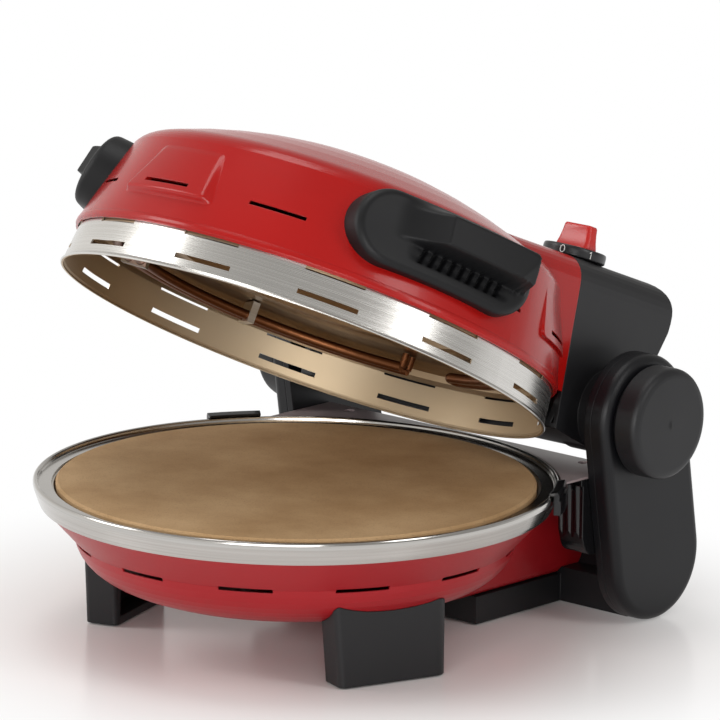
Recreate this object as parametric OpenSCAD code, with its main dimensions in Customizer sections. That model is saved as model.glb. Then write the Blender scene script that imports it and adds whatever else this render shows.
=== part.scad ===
// Countertop pizza oven: a round base holds a ceramic stone over a heating element,
// and a domed lid with its own element swings up on two towers at the back.
// The lid is modelled closed, in the base's frame, and lid_pose() opens it.

/* [Base] */
// Outer radius of the steel ring round the stone
ring_r = 170; // [164:1:178]
// Height of the ring's upper edge above the table
ring_top = 104; // [98:1:112]
// Height of the ring's outer face
ring_h = 15; // [12:0.5:17]
// Thickness of the ring's sheet
ring_t = 1.3; // [0.8:0.1:2]
// Width of the ledge that the lid lands on
ledge_w = 8; // [6:0.5:10]
// Depth of that ledge below the ring's upper edge
ledge_drop = 3.3; // [2.5:0.1:4]
// Wall of the painted base bowl
bowl_t = 1.6; // [1:0.1:3]
// Height of the bowl's flat bottom above the table
bowl_z = 32; // [28:1:36]
// Radius of the bowl's flat bottom
bowl_flat_r = 60; // [40:1:75]
// Height of the vent slots in the bowl
bowl_slot_z = 66; // [60:1:72]
// Width across the bottom of the box behind the bowl
box_w = 144; // [120:1:160]
// Width across the top of the box behind the bowl
box_top_w = 206; // [190:1:214]
// Height of the box's underside above the table
box_z = 19.5; // [17:0.5:23]
// How far the box reaches behind the ring
box_behind = 26; // [22:0.5:32]

/* [Stone and lower heater] */
// How far the baking stone's edge stands inside the ring's outer edge
stone_in = 15; // [13:0.5:22]
// Thickness of the baking stone
stone_t = 12; // [9:0.5:14]
// Height that the stone lifts before it is clear to take out
stone_lift = 6; // [3:0.5:6]
// Radius of the lower heating element's loop
lower_loop_r = 104; // [80:1:115]
// Radius of the heating element's tube
element_r = 3.3; // [2.5:0.1:4]

/* [Feet and beam] */
// How far the middle of a front foot stands inside the ring's outer edge
foot_in = 49.4; // [44:0.2:58]
// Direction of a front foot, measured from straight ahead
foot_dir = 71.5; // [55:0.5:80]
// Width of a front foot
foot_w = 78; // [56:1:84]
// Depth of a front foot
foot_d = 23; // [18:1:28]
// Thickness of the rubber pads
pad_t = 1; // [0.8:0.1:2.5]
// Front of the beam's tail under the box
tail_front = 96; // [90:1:110]
// Depth of the cross beam between the towers
beam_d = 38; // [32:1:44]
// Height of the cross beam's top behind the box
beam_top = 44; // [36:1:56]

/* [Hinge and towers] */
// Distance from the ring's outer edge back to the hinge axis
hinge_gap = 4.8; // [2:0.1:8]
// Height of the hinge axis above the table
hinge_z = 137.4; // [134:0.1:142]
// Angle that the lid stands open
open_deg = 28.4; // [0:0.1:50]
// Distance from the middle to a tower's inner face
tower_x = 130; // [126:0.5:136]
// Thickness of a tower
tower_t = 17.5; // [15:0.5:24]
// Radius of a tower's rounded ends
tower_r = 42.5; // [40:0.5:46]
// How far a tower's lower end stands behind the hinge axis
tower_lean = 15.5; // [8:0.1:20]
// Rounding of a tower's outer edge
tower_edge = 6; // [3:0.5:8]
// Wall of a tower's outer shell
tower_wall = 2.5; // [2:0.1:4]
// Radius of the round pivot cap
cap_r = 36.5; // [32:0.5:39]
// How far the pivot cap stands out
cap_t = 20.5; // [14:0.5:26]
// Radius of the hinge pins
pin_r = 8; // [6:0.25:10]
// Radial running clearance round the hinge pins
pin_clear = 0.05; // [0.03:0.01:0.08]
// Thickness of the deck plate
deck_t = 1.5; // [1:0.1:2.5]
// How far the deck plate reaches behind the ring
deck_behind = 3; // [1:0.5:8]

/* [Lid] */
// Height of the steel band
band_h = 28.9; // [24:0.1:32]
// How far the band's lower rim stands inside the ring's outer edge
rim_in = 5.3; // [5.3:0.1:8]
// How far the band leans in up to its upper edge
band_lean = 4.2; // [2:0.1:6]
// Thickness of the band's sheet
band_t = 0.9; // [0.6:0.1:1.5]
// Height of the lower row of band slots above the rim
slot_low = 9.2; // [7:0.1:11]
// Height of the upper row of band slots above the rim
slot_high = 25.3; // [20:0.1:26]
// Length of a vent slot, as an angle
slot_deg = 14.1; // [8:0.1:18]
// Height of a vent slot
slot_w = 3.2; // [1.5:0.1:4]
// Number of vent slots round the band
slot_n = 12; // [8:1:16]
// Turn of the band's slots from straight ahead
band_turn = 13.8; // [0:0.2:29]
// Turn of the dome's slots and pads from straight ahead
dome_turn = -4; // [-15:1:15]
// How far the dome's foot stands out over the band's upper edge
dome_out = 2.5; // [2:0.1:4]
// How far the dome's shoulder stands inside its foot
shoulder_in = 17.2; // [13:0.1:24]
// Height of the shoulder above the closed rim
shoulder_h = 87.5; // [78:0.5:92]
// Height of the dome's top above the closed rim
dome_h = 125.8; // [116:0.1:132]
// Radius of the crown's curve
crown_r = 330; // [300:5:400]
// Thickness of the dome's sheet
dome_t = 1.6; // [1:0.1:3]
// How far the pressed pads stand out at their lower edge
pad_rise = 3.4; // [1.5:0.1:5]

/* [Upper heater] */
// Radius of the upper heating element's loop
upper_loop_r = 130; // [100:1:134]
// Depth of the loop below the ceiling
upper_drop = 10; // [8:0.5:12]
// Half the distance between the loop's two tubes
loop_half = 4.3; // [4.2:0.1:6]

/* [Housing and dial] */
// Half of the housing's width
house_x = 112; // [106:0.5:115]
// Clearance between the housing's hubs and the towers
hub_clear = 0.5; // [0.3:0.1:1]
// Wall of the housing
house_wall = 3; // [2:0.1:5]
// Forward lean of the joint between lid and housing
seam_lean = 14.7; // [0:0.1:18]
// Distance from the hinge axis forward to that joint, at the height of the dome's foot
seam_front = 47.8; // [44:0.5:52]
// Distance of the dial's axis from the middle
dial_x = 80; // [60:1:86]
// Distance from the hinge axis forward to the dial's axis
dial_front = 43.8; // [36:0.5:46]
// Radius of the dial's disc
dial_r = 21; // [18:0.5:24]
// Thickness of the dial's disc
dial_t = 7; // [5:0.5:9]
// Height of the dial's grip
dial_grip_h = 13; // [10:0.5:18]

/* [Grips] */
// Direction of a grip's middle, measured from straight ahead
grip_dir = 66.2; // [60:0.2:75]
// Length of a grip
grip_len = 130; // [116:1:140]
// Height of a grip
grip_h = 51; // [44:0.5:56]
// How far the middle of a grip's face stands outside the dome's foot
grip_out = 3; // [1:0.2:6]
// Tilt of a grip's face, its upper edge inwards
grip_tilt = 9; // [0:0.5:14]
// Height of a grip's middle above the closed rim
grip_z = 68; // [62:0.5:72]
// How far the bar of a grip stands out from its face
bar_out = 15; // [11:0.5:20]
// Number of louvres below a grip's bar
louvre_n = 9; // [5:1:11]

/* [Hidden] */
$fn = 96;
eps = 0.01;
// Smallest gap between parts that are fastened together
seat = 0.2;
// Gap between parts that move past each other
run = 0.5;

hinge_y = ring_r + hinge_gap;
stone_r = ring_r - stone_in;
foot_r = ring_r - foot_in;
box_back = ring_r + box_behind;
deck_back = ring_r + deck_behind;
rim_r = ring_r - rim_in;
band_top_r = rim_r - band_lean;
dome_r = band_top_r + dome_out;
shoulder_r = dome_r - shoulder_in;
grip_face = dome_r + grip_out;
seam_y = hinge_y - seam_front;
dial_y = hinge_y - dial_front;

rim_z = ring_top - ledge_drop + run;
band_top_z = rim_z + band_h;
ledge_z = ring_top - ledge_drop;
ledge_in = ring_r - ring_t - 3 - ledge_w;
stone_z = ledge_z - 10 + seat;
pan_seat_z = stone_z - seat;
tail_top = box_z - seat;
// The box's underside steps up over the cross beam, and its back is closed below the deck plate
step_y = ring_r + 8;
step_z = box_z + 5;
shelf_z = ring_top - 20;
beam_front = step_y + 2;
beam_back = beam_front + beam_d;
gland = [60, beam_back - 12, 30];
tower_low_z = tower_r + 0.3;
tower_lean_deg = atan2(tower_lean, hinge_z - tower_low_z);
tower_span = norm([tower_lean, hinge_z - tower_low_z]);
tower_out = tower_x + tower_t;
shoulder_z = rim_z + shoulder_h;
dome_top_z = rim_z + dome_h;
foot_band_z = band_top_z + 1;
// The form behind the dome: where its top ends at the back, and how its top rises towards there
rear_top = [hinge_y + 14.2, rim_z + 128.8];
rear_slope = 0.13;
corner_r = 18;
ceiling_z = band_top_z + 7;
hub_r = 27;
hub_out = tower_x - hub_clear;

// The lid, as it stands in the photograph, reaches furthest back at the housing's top corner
rear_reach = hinge_y + (rear_top.x + 17.4 - hinge_y) * cos(open_deg)
    + (rear_top.y - 9 - hinge_z) * sin(open_deg);
origin_y = (max(rear_reach, hinge_y + tower_lean + tower_r) - ring_r) / 2;

// ---- Helpers -------------------------------------------------------------------------

// Points on a curve from a to c that leaves and arrives towards b
function bend(a, b, c, n = 8) =
    [for (i = [0:n]) let (t = i / n) (1 - t) ^ 2 * a + 2 * t * (1 - t) * b + t ^ 2 * c];

function unit(v) = v / norm(v);

// The path moved sideways by t, to its left, and never across the axis it is turned about
function beside(p, t) =
    [for (i = [0:len(p) - 1])
        let (d = unit(p[min(i + 1, len(p) - 1)] - p[max(i - 1, 0)]), q = p[i] + t * [-d.y, d.x])
        [max(q.x, 0), q.y]];

function reversed(p) = [for (i = [len(p) - 1:-1:0]) p[i]];

// A sheet of thickness t that follows a path, as an outline
module sheet(p, t) {
    polygon(concat(p, reversed(beside(p, t))));
}

module both_sides() {
    children();
    mirror([1, 0, 0]) children();
}

// Puts a piece at a direction from straight ahead, with +X pointing out
module at_direction(deg) {
    rotate([0, 0, deg - 90]) children();
}

// A curved slot through a round wall
module ring_slot(r, z, deg, turn, w) {
    rotate([0, 0, turn - deg / 2 - 90])
        translate([0, 0, z - w / 2])
            rotate_extrude(angle = deg)
                translate([r - 6, 0]) square([12, w]);
}

// A slab with round ends, rounded along its outer edge, standing on z = 0
module rounded_slab(r, span, t, edge) {
    profile = concat([[0, 0], [r, 0]], [for (i = [0:6])
        [r - edge + edge * cos(i * 15), t - edge + edge * sin(i * 15)]], [[0, t]]);
    for (x = [0, span]) translate([x, 0, 0]) rotate_extrude() polygon(profile);
    rotate([90, 0, 90])
        linear_extrude(span)
            polygon(concat([for (p = profile) p], [for (p = reversed(profile)) [-p.x, p.y]]));
}

module base_pose() {
    translate([0, -origin_y, 0]) children();
}

// Swings the closed lid up to the angle at which it stands open
module lid_pose() {
    translate([0, hinge_y - origin_y, hinge_z])
        rotate([-open_deg, 0, 0])
            translate([0, -hinge_y, -hinge_z]) children();
}

// ---- Base ----------------------------------------------------------------------------

bowl_top = [ring_r - ring_t - 5.2, ring_top - ring_h + 7.5];
bowl_mid = [ring_r - 27, ring_top - 37.8];
bowl_path = concat(
    [[0, bowl_z]],
    bend([bowl_flat_r, bowl_z], [ring_r - 33, bowl_z], bowl_mid, 14),
    [bowl_top - [0, 8], bowl_top]);

module bowl_solid(grow = 0) {
    rotate_extrude() polygon(concat(beside(bowl_path, -grow),
        [[ring_r, bowl_top.y + grow], [ring_r, 140], [0, 140]]));
}

function box_side(z) =
    box_w / 2 + (box_top_w - box_w) / 2 * (z - box_z) / (bowl_top.y - box_z);

// The box's cross-section, drawn in by a wall thickness
module box_section(inset, top) {
    low = box_z + inset;
    left = concat(
        [[-box_side(top) + inset, top], [-box_side(low + 8) + inset, low + 8]],
        bend([-box_side(low + 6) + inset, low + 6], [-box_side(low) + inset, low],
            [-box_side(low) + inset + 8, low], 5));
    polygon(concat(left, [for (p = reversed(left)) [-p.x, p.y]]));
}

module along_y(from, to) {
    translate([0, to, 0]) rotate([90, 0, 0]) linear_extrude(to - from) children();
}

// The box behind the bowl, with its step over the cross beam, drawn in by a wall thickness
module rear_box(inset, top) {
    difference() {
        along_y(40, box_back - inset) box_section(inset, top);
        translate([-box_w, step_y - inset, 0]) cube([2 * box_w, 100, step_z + inset]);
        translate([-box_w, deck_back - inset, shelf_z - inset]) cube([2 * box_w, 100, 100]);
    }
}

module base_shell() color("firebrick") base_pose() {
    deck_low = ring_top - 1 - deck_t;
    cut_z = ring_top - ring_h - 0.7;
    difference() {
        union() {
            rotate_extrude() sheet(bowl_path, bowl_t);
            difference() {
                rear_box(0, deck_low - eps);
                bowl_inside();
            }
        }
        intersection() {
            rear_box(bowl_t, deck_low + 10);
            translate([-ring_r, 70, box_z + bowl_t]) cube([2 * ring_r, ring_r, 150]);
        }
        translate([0, 0, cut_z])
            difference() {
                cylinder(r = ring_r + 0.6, h = 60);
                translate([0, 0, -1]) cylinder(r = bowl_top.x + 0.3, h = bowl_top.y + 1.4 - cut_z);
            }
        for (i = [0:slot_n - 1]) if (abs(i * 360 / slot_n - 180) > 50)
            ring_slot(ring_r - 24, bowl_slot_z, slot_deg, i * 360 / slot_n, slot_w - 0.6);
    }
}

// The bowl's hollow, up to the middle of its wall
module bowl_inside() {
    rotate_extrude() polygon(concat(beside(bowl_path, bowl_t / 2),
        [[bowl_top.x - bowl_t / 2, 160], [0, 160]]));
}

module base_ring() color("silver") base_pose() {
    low = ring_top - ring_h;
    path = concat(
        [[ring_r - 4.5, low], [ring_r - 3.6, low + 2]],
        bend([ring_r - 0.6, ring_top - 4.5], [ring_r + 0.2, ring_top - 0.6],
            [ring_r - 1.6, ring_top], 5),
        bend([ring_r - 2.2, ring_top], [ring_r - 3.4, ring_top - 0.2],
            [ring_r - 3.6, ledge_z + 1], 3),
        [[ring_r - 4.2, ledge_z], [ledge_in, ledge_z]]);
    rotate_extrude($fn = 120) sheet(path, ring_t);
}

// Pressed pan that carries the stone and lines the hollow under it
module lower_pan() color("lightgray") base_pose() {
    flange_z = ledge_z - ring_t - seat;
    path = [
        [0, bowl_z + 37], [118, bowl_z + 37], [126, bowl_z + 39],
        [stone_r - 9, pan_seat_z], [stone_r + 0.6, pan_seat_z],
        [stone_r + 1.4, flange_z], [bowl_top.x - 0.8, flange_z]];
    difference() {
        rotate_extrude($fn = 120) sheet(path, -1.1);
        for (a = [100, 80]) rotate([0, 0, a])
            translate([lower_loop_r, 0, bowl_z]) cylinder(r = element_r, h = 60, $fn = 24);
    }
}

module heater_loop(r, z) {
    translate([0, 0, z]) rotate([0, 0, 100]) rotate_extrude(angle = 340)
        translate([r, 0]) circle(r = element_r, $fn = 24);
}

module lower_element() color("saddlebrown") base_pose() {
    z = bowl_z + 37 + 9;
    heater_loop(lower_loop_r, z);
    for (a = [100, 80]) rotate([0, 0, a])
        translate([lower_loop_r, 0, z - 24]) cylinder(r = element_r - 0.8, h = 24, $fn = 24);
}

module lower_clips() color("lightgray") base_pose() {
    z = bowl_z + 37 + seat;
    for (a = [-90, 0, 180]) rotate([0, 0, a]) translate([lower_loop_r, 0, z])
        difference() {
            translate([-6, -5, 0]) cube([12, 10, 9 + element_r - 0.4]);
            translate([0, 6, 9 - seat]) rotate([90, 0, 0]) cylinder(r = element_r + 0.3, h = 12, $fn = 24);
            translate([-3.2, -6, -1]) cube([6.4, 12, 5]);
        }
}

module deck_plate() color("rosybrown") base_pose() {
    deck_front = sqrt((ring_r + 1) ^ 2 - (tower_x - run) ^ 2);
    z = ring_top - 1 - deck_t;
    difference() {
        translate([0, 0, z]) linear_extrude(deck_t) difference() {
            translate([-tower_x + run, deck_front]) square([2 * (tower_x - run), deck_back - deck_front]);
            circle(r = ring_r + 0.8);
        }
        both_sides() translate([box_top_w / 2, deck_back - 9, z - 1]) cylinder(r = 3.5, h = deck_t + 2);
    }
}

module rear_beam() color("#222224") base_pose() {
    difference() {
        union() {
            along_y(tail_front, beam_front + 1) translate([-box_w / 2, pad_t])
                square([box_w, tail_top - pad_t]);
            rotate([90, 0, 90]) translate([0, 0, -tower_x + seat])
                linear_extrude(2 * (tower_x - seat))
                    polygon(concat(
                        [[beam_front, pad_t]],
                        bend([beam_back - 16, pad_t], [beam_back, pad_t],
                            [beam_back, pad_t + 16], 6),
                        bend([beam_back, beam_top - 14], [beam_back, beam_top],
                            [beam_back - 14, beam_top], 6),
                        [[box_back + 1, beam_top], [box_back + 1, step_z - seat],
                            [beam_front, step_z - seat]]));
        }
        translate([-box_w / 2 + 6, tail_front + 5, pad_t + 3]) cube([box_w - 12, 60, tail_top]);
        translate(gland) rotate([-90, 0, 0]) cylinder(r = 7, h = 20);
    }
}

module foot() {
    difference() {
        at_direction(foot_dir) translate([foot_r, 0, 0])
            difference() {
                hull() for (u = [-1, 1]) {
                    translate([u * (foot_d / 2 - 4), 4 - foot_w / 2, pad_t]) cylinder(r = 4, h = 1, $fn = 32);
                    translate([u * (foot_d / 2 - 4), -1 - foot_w / 2, 58]) cylinder(r = 4, h = 1, $fn = 32);
                    translate([u * (foot_d / 2 - 9), foot_w / 2 - 9, pad_t]) cylinder(r = 9, h = 58, $fn = 32);
                }
                translate([-foot_d, -foot_w / 2 + 5, 6]) cube([foot_d * 1.5 - 5, foot_w - 13, 60]);
            }
        bowl_solid(seat);
    }
}

module foot_right() color("#222224") base_pose() foot();
module foot_left() color("#222224") base_pose() mirror([1, 0, 0]) foot();

module rubber_pads() color("#151515") base_pose() both_sides() {
    at_direction(foot_dir) for (v = [-1, 1])
        translate([foot_r + 1, v * (foot_w / 2 - 11), 0]) cylinder(r = 6, h = pad_t - eps);
    translate([box_w / 2 - 16, tail_front + 26, 0]) cylinder(r = 8, h = pad_t - eps);
    translate([tower_x - 24, beam_front + beam_d / 2, 0]) cylinder(r = 8, h = pad_t - eps);
}

module base_screws() color("gray") base_pose() both_sides() {
    for (y = [-20, 30]) translate([34, y, bowl_z - 2.2]) cylinder(r = 3.4, h = 2);
}

// ---- Towers and hinge ----------------------------------------------------------------

// Lays a slab on the plane of a tower, from the hinge down to the tower's foot
module on_tower(x) {
    translate([x, hinge_y, hinge_z])
        rotate([0, 90, 0])
            rotate([0, 0, tower_lean_deg]) children();
}

tower_split = tower_t * 0.3;

module tower_inner() {
    difference() {
        union() {
            on_tower(tower_x) {
                rounded_slab(tower_r, tower_span, tower_split, 0.2);
                translate([0, 0, tower_split - eps]) cylinder(r = pin_r + 7, h = tower_t * 0.45);
            }
        }
        on_tower(tower_x - 1) cylinder(r = pin_r + pin_clear, h = tower_t);
    }
}

module tower_outer() {
    difference() {
        on_tower(tower_x + tower_split)
            rounded_slab(tower_r, tower_span, tower_t - tower_split, tower_edge);
        on_tower(tower_x + tower_split - 1)
            rounded_slab(tower_r - tower_wall, tower_span, tower_t - tower_split - tower_wall + 1, tower_edge);
    }
}

module tower_right() color("#1c1c1e") base_pose() tower_inner();
module tower_left() color("#1c1c1e") base_pose() mirror([1, 0, 0]) tower_inner();
module tower_cover_right() color("#262628") base_pose() tower_outer();
module tower_cover_left() color("#262628") base_pose() mirror([1, 0, 0]) tower_outer();

module pivot_cap() {
    translate([tower_out + eps, hinge_y, hinge_z]) rotate([0, 90, 0])
        rotate_extrude() polygon(concat(
            [[0, 0], [cap_r - 2.5, 0], [cap_r, 3]],
            bend([cap_r, cap_t - 6], [cap_r, cap_t - 0.8], [cap_r - 6, cap_t - 0.4], 6),
            [[0, cap_t]]));
}

module pivot_cap_right() color("#2a2a2c") base_pose() pivot_cap();
module pivot_cap_left() color("#2a2a2c") base_pose() mirror([1, 0, 0]) pivot_cap();

module hinge_pin() {
    translate([house_x - 9, hinge_y, hinge_z]) rotate([0, 90, 0]) {
        cylinder(r = pin_r, h = tower_x + tower_t * 0.72 - house_x + 9);
        translate([0, 0, -3]) cylinder(r = pin_r + 3, h = 3);
    }
}

module hinge_pin_right() color("silver") base_pose() hinge_pin();
module hinge_pin_left() color("silver") base_pose() mirror([1, 0, 0]) hinge_pin();

// Moulded clip beside the ring: a fluted post against the tower and an arm over the ring's edge
module side_clip() {
    post_x = tower_x - 20;
    post_y = hinge_y - 43.8;
    post_top = ring_top - 1 - deck_t - seat;
    difference() {
        union() {
            translate([post_x, 0, 0]) rotate([90, 0, 90]) linear_extrude(tower_x - seat - post_x)
                polygon(concat(
                    [[post_y, post_top], [post_y + 1, 66]],
                    bend([post_y + 3, 58], [post_y + 6, 50], [post_y + 12, 50], 6),
                    [[post_y + 36, 50], [post_y + 36, post_top]]));
            rotate([0, 0, 27]) translate([0, 0, ring_top - 12]) rotate_extrude(angle = 24)
                translate([ring_r - 2, 0]) square([7, post_top - ring_top + 12]);
            rotate([0, 0, 27]) translate([0, 0, ring_top]) rotate_extrude(angle = 12)
                polygon([[ring_r - 2.5, -4], [ring_r + 4, -4], [ring_r + 4, 1],
                    [ring_r + 3, 3], [ring_r - 2.5, 2]]);
        }
        for (x = [4, 11, 18]) translate([post_x + x, post_y - 0.8, 62]) cylinder(r = 2.9, h = 35);
        translate([0, 0, 40]) cylinder(r = ring_r + 0.5, h = ring_top - 40 + 0.5);
    }
}

module side_clip_right() color("#18181a") base_pose() side_clip();
module side_clip_left() color("#18181a") base_pose() mirror([1, 0, 0]) side_clip();

module terminal_block() color("ivory") base_pose() translate([-24, tail_front + 32, box_z + bowl_t + eps]) {
    difference() {
        cube([48, 22, 16]);
        for (i = [0:2]) translate([10 + i * 14, 11, 8]) cylinder(r = 3, h = 9);
    }
}

module cable_gland() color("#202022") base_pose() translate(gland + [0, eps, 0])
    rotate([-90, 0, 0]) difference() {
        union() {
            cylinder(r = 6.8, h = 13);
            translate([0, 0, 12 + eps]) cylinder(r = 8.5, h = 3);
            translate([0, 0, 15]) cylinder(r = 6, h = 7);
        }
        translate([0, 0, -1]) cylinder(r = 3.6, h = 30);
    }

// ---- Stone ---------------------------------------------------------------------------

module pizza_stone() color("tan") base_pose() translate([0, 0, stone_z])
    rotate_extrude($fn = 120) polygon([[0, 0], [stone_r - 1, 0], [stone_r, 1],
        [stone_r, stone_t - 1.5], [stone_r - 1.5, stone_t], [0, stone_t]]);

// ---- Lid -----------------------------------------------------------------------------

crown_mid = dome_top_z - crown_r;
function crown_at(r) = crown_mid + sqrt(crown_r ^ 2 - r ^ 2);
shoulder_end = shoulder_r - 12;

wall_path = bend([dome_r, foot_band_z + 1], [dome_r - 5.4, foot_band_z + 21], [shoulder_r, shoulder_z], 6);
crown_path = [for (i = [0:8]) let (r = shoulder_end * (1 - i / 8)) [r, crown_at(r)]];
shoulder_path = bend([shoulder_r, shoulder_z], [shoulder_r - 3.2, crown_at(shoulder_end) - 3.5],
    [shoulder_end, crown_at(shoulder_end)], 6);
dome_path = concat(wall_path, [for (i = [1:5]) shoulder_path[i]], crown_path);

module dome_solid(grow = 0) {
    rotate_extrude($fn = 120) polygon(concat([[0, foot_band_z - 4]],
        [[dome_r + grow, foot_band_z - 4]], beside(dome_path, -grow)));
}

// Side view of the squared form behind the dome, from its underside round the hubs to its top
rear_path = concat(
    [[40, hinge_z - hub_r + 2], [hinge_y - 24, hinge_z - hub_r]],
    [for (a = [-90:15:15]) [hinge_y + hub_r * cos(a), hinge_z + hub_r * sin(a)]],
    [[rear_top.x + 18, rear_top.y - 44]],
    bend([rear_top.x + 21, rear_top.y - 26], [rear_top.x + 20, rear_top.y], [rear_top.x, rear_top.y]),
    [[40, rear_top.y - rear_slope * (rear_top.x - 40)]]);

module rear_form(inset = 0, half = house_x) {
    side = beside(rear_path, inset);
    wide = half - inset;
    intersection() {
        translate([-wide, 0, 0]) rotate([90, 0, 90]) linear_extrude(2 * wide) polygon(side);
        translate([0, rear_top.x, rear_top.y - inset]) rotate([90 + atan(rear_slope), 0, 0])
            translate([0, 0, -60]) linear_extrude(320) polygon(concat(
                bend([wide, -corner_r], [wide, 0], [wide - corner_r, 0]),
                bend([corner_r - wide, 0], [-wide, 0], [-wide, -corner_r]),
                [[-wide, -160], [wide, -160]]));
    }
}

// Everything in front of the joint between lid and housing, or behind it
module before_seam(gap = 0) {
    translate([0, seam_y - gap, foot_band_z]) rotate([seam_lean, 0, 0])
        translate([-200, -300, -60]) cube([400, 300, 260]);
}

pad_low = foot_band_z + 18.5;
pad_high = foot_band_z + 50;

module pad_prism(grow) {
    low = pad_low - grow;
    side = concat(
        [[25 + grow, pad_high + grow]],
        bend([33 + grow, low + 7], [35 + grow, low], [29 + grow, low], 5));
    rotate([90, 0, 90]) linear_extrude(1.5 * dome_r)
        polygon(concat(side, [for (p = reversed(side)) [-p.x, p.y]]));
}

// A pressed pad: the wall stands out more towards its lower edge
module pad_form(grow = 0) {
    inner = dome_r - 60;
    lift = [for (p = wall_path) p + [pad_rise * max(0, 1 - abs(p.y - pad_low) / 38) - 0.6 + grow, 0]];
    intersection() {
        rotate_extrude($fn = 120) polygon(concat([[inner, lift[0].y]], lift, [[inner, shoulder_z]]));
        pad_prism(grow);
    }
}

module lid_shell() color("firebrick") lid_pose() {
    difference() {
        union() {
            dome_solid();
            for (a = [-120:60:120]) at_direction(a + dome_turn) pad_form();
            intersection() {
                rear_form();
                before_seam();
                translate([-200, 0, foot_band_z + 3]) cube([400, 200, 200]);
            }
            translate([0, 0, foot_band_z - 3]) rotate_extrude($fn = 120)
                polygon([[dome_r - 3, 0], [dome_r + 0.2, 0], [dome_r + 0.8, 1], [dome_r + 0.6, 3],
                    [dome_r, 4.6], [dome_r - 3, 4.6]]);
        }
        rotate_extrude($fn = 120) polygon(concat([[0, foot_band_z - 10]],
            [[dome_r - dome_t, foot_band_z - 10]], beside(dome_path, dome_t)));
        for (a = [-120:60:120]) at_direction(a + dome_turn) pad_form(-dome_t);
        difference() {
            rear_form(dome_t + 0.4);
            dome_solid(-0.3);
            translate([-200, 0, 0]) cube([400, 400, foot_band_z + 4.6]);
        }
        for (i = [-5:5]) ring_slot(dome_r - 6, foot_band_z + 24.3, slot_deg,
            i * 360 / slot_n + dome_turn, slot_w - 0.8);
    }
}

module lid_band() color("silver") lid_pose() {
    path = concat(
        bend([rim_r - 2, rim_z + 0.4], [rim_r, rim_z], [rim_r, rim_z + 1.2], 3),
        bend([rim_r - 0.4, rim_z + 1.8], [rim_r - 1.2, rim_z + 2], [rim_r - 1.4, rim_z + 3], 2),
        [[band_top_r, band_top_z]]);
    difference() {
        rotate_extrude($fn = 120) sheet(path, band_t);
        for (i = [0:slot_n - 1], h = [slot_low, slot_high])
            ring_slot(rim_r - 1, rim_z + h, slot_deg, i * 360 / slot_n + band_turn, slot_w);
    }
}

module lid_reflector() color("tan") lid_pose() {
    path = concat(
        [[band_top_r - band_t - 1.4, band_top_z - 4], [band_top_r - band_t - 1.4, band_top_z - 1]],
        bend([band_top_r - 4, band_top_z + 3], [band_top_r - 8, ceiling_z], [band_top_r - 16, ceiling_z], 5),
        [[104, ceiling_z + 1]],
        bend([100, ceiling_z + 2], [94, ceiling_z + 13], [82, ceiling_z + 14], 4),
        [[0, ceiling_z + 15]]);
    rotate_extrude($fn = 120) sheet(path, -1);
}

// A double loop: out along one tube, round a bend and back along the other
module upper_element() color("sienna") lid_pose() {
    z = ceiling_z - upper_drop;
    for (side = [-1, 1]) {
        heater_loop(upper_loop_r + side * loop_half, z);
        rotate([0, 0, 100]) translate([upper_loop_r + side * loop_half, 0, z])
            cylinder(r = element_r - 0.8, h = upper_drop - 0.5, $fn = 24);
    }
    rotate([0, 0, 79.8]) translate([upper_loop_r, 0, z]) rotate_extrude(angle = 180)
        translate([loop_half, 0]) circle(r = element_r, $fn = 24);
}

module upper_clips() color("silver") lid_pose() {
    half = loop_half + element_r + 1.4;
    low = -element_r - 1.2;
    for (a = [-160, -110, -60, -15, 30, 150]) rotate([0, 0, a])
        translate([upper_loop_r, 0, ceiling_z - upper_drop])
            difference() {
                translate([-half, -2.5, low]) cube([2 * half, 5, upper_drop - low - 0.3]);
                for (side = [-1, 1]) translate([side * loop_half, 5, 0]) rotate([90, 0, 0])
                    cylinder(r = element_r + 0.3, h = 10, $fn = 24);
            }
}

module thermostat() color("gainsboro") lid_pose()
    translate([0, -30, ceiling_z + 15 + 1]) {
        cylinder(r = 9, h = 7);
        for (u = [-1, 1]) translate([u * 5 - 1.5, -0.4, 7 - eps]) cube([3, 0.8, 7]);
    }

// ---- Grips ---------------------------------------------------------------------------

// Lays a slab outwards on the lid's side, with +X towards the back
module on_grip(u, v, w) {
    at_direction(grip_dir) translate([grip_face, 0, rim_z + grip_z])
        rotate([0, -grip_tilt, 0]) rotate([90, 0, 90]) translate([u, v, w]) children();
}

module grip(pad_turn) {
    end_r = grip_h / 2;
    span = grip_len - grip_h;
    bar_r = 10;
    bar_v = 1.5;
    difference() {
        union() {
            on_grip(-span / 2, 0, -36) rounded_slab(end_r, span, 36, 5);
            hull() {
                for (u = [-6, span / 2 - 3]) {
                    on_grip(u, bar_v, -1) cylinder(r = bar_r, h = bar_out - 1, $fn = 32);
                    on_grip(u, bar_v, bar_out - 2) cylinder(r = bar_r - 2, h = 2, $fn = 32);
                }
                on_grip(-span / 2 + 2, bar_v, -1) cylinder(r = bar_r - 1, h = 1.5, $fn = 32);
            }
        }
        dome_solid(seat);
        at_direction(60 + pad_turn) pad_form(seat);
        on_grip(-span / 2 - 2, -8.6, -4) rotate([-24, 0, 0]) translate([0, -30, 0])
            cube([span + 6, 30, bar_out + 12]);
        for (i = [0:louvre_n - 1])
            on_grip(-30 + i * 7.2, -9, -7) rotate([0, 0, -22]) translate([-1.5, -7, 0]) cube([3, 8, 12]);
    }
}

module grip_right() color("#262628") lid_pose() grip(dome_turn);
module grip_left() color("#262628") lid_pose() mirror([1, 0, 0]) grip(-dome_turn);

// ---- Housing and dial ----------------------------------------------------------------

// Stands a piece of the dial on the housing's sloping top
module on_housing(up) {
    translate([dial_x, dial_y, rear_top.y - rear_slope * (rear_top.x - dial_y)])
        rotate([atan(rear_slope), 0, 0]) translate([0, 0, up]) children();
}

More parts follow.
